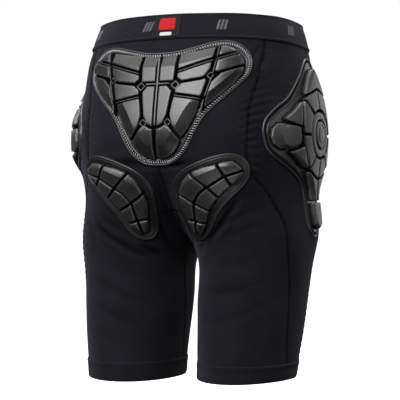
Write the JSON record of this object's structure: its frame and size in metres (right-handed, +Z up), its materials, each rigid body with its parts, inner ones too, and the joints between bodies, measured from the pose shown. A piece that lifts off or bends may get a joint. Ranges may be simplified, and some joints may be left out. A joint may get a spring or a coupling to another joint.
{
  "type": "padded impact shorts",
  "caption": "Close-fitting ski and snowboard shorts with an elastic waist, a segmented tailbone pad, sit-bone pads and domed hip pads with a ringed disc.",
  "frame": {"origin": "centre of the waist opening, on the rim plane", "axes": "+Z up out of the waist opening; -Y is the wearer's front and +Y the back; -X is the wearer's right"},
  "size_m": [0.3722, 0.2854, 0.5085],
  "materials": {
    "elastic": "ribbed elastic",
    "motif": "woven mark",
    "label": "woven label",
    "label_print": "woven print",
    "knit": "matte stretch knit",
    "pad_base": "satin moulded flange",
    "pad_block": "satin moulded blocks"
  },
  "bodies": {
    "pelvis": {"waistband": "elastic", "waistband_motifs": "motif", "waist_label": "label", "waist_label_print": "label_print", "back_panel": "knit", "front_panel": "knit", "fly_panel": "knit", "crotch_gusset": "knit", "side_panel_left": "knit", "side_panel_right": "knit", "tail_pad_base": "pad_base", "tail_centre_blocks": "pad_block", "tail_wing_blocks_left": "pad_block", "tail_wing_blocks_right": "pad_block", "tail_flank_blocks_left": "pad_block", "tail_flank_blocks_right": "pad_block", "tail_ear_blocks_left": "pad_block", "tail_ear_blocks_right": "pad_block", "tail_tip_blocks": "pad_block", "tail_studs": "pad_block", "sit_pad_base_left": "pad_base", "sit_pad_blocks_left": "pad_block", "hip_pad_base_left": "pad_base", "hip_disc_left": "pad_block", "hip_ring_left": "pad_block", "hip_spokes_left": "pad_block", "hip_rear_blocks_left": "pad_block", "hip_front_blocks_left": "pad_block", "hip_top_block_left": "pad_block", "hip_thigh_blocks_left": "pad_block", "hip_toe_block_left": "pad_block", "sit_pad_base_right": "pad_base", "sit_pad_blocks_right": "pad_block", "hip_pad_base_right": "pad_base", "hip_disc_right": "pad_block", "hip_ring_right": "pad_block", "hip_spokes_right": "pad_block", "hip_rear_blocks_right": "pad_block", "hip_front_blocks_right": "pad_block", "hip_top_block_right": "pad_block", "hip_thigh_blocks_right": "pad_block", "hip_toe_block_right": "pad_block"},
    "left_leg": {"thigh_left": "knit", "leg_side_panel_left": "knit", "leg_rear_panel_left": "knit", "leg_front_panel_left": "knit", "hem_left": "knit"},
    "right_leg": {"thigh_right": "knit", "leg_side_panel_right": "knit", "leg_rear_panel_right": "knit", "leg_front_panel_right": "knit", "hem_right": "knit"}
  },
  "joints": [
    {"name": "left_hip", "type": "hinge", "parent": "pelvis", "child": "left_leg", "pos_m": [0.088, 0.029, -0.32], "axis": [-1, 0, 0], "range_deg": [-20, 45], "deforming": ["thigh_left"]},
    {"name": "right_hip", "type": "hinge", "parent": "pelvis", "child": "right_leg", "pos_m": [-0.088, 0.029, -0.32], "axis": [-1, 0, 0], "range_deg": [-20, 45], "deforming": ["thigh_right"]}
  ]
}
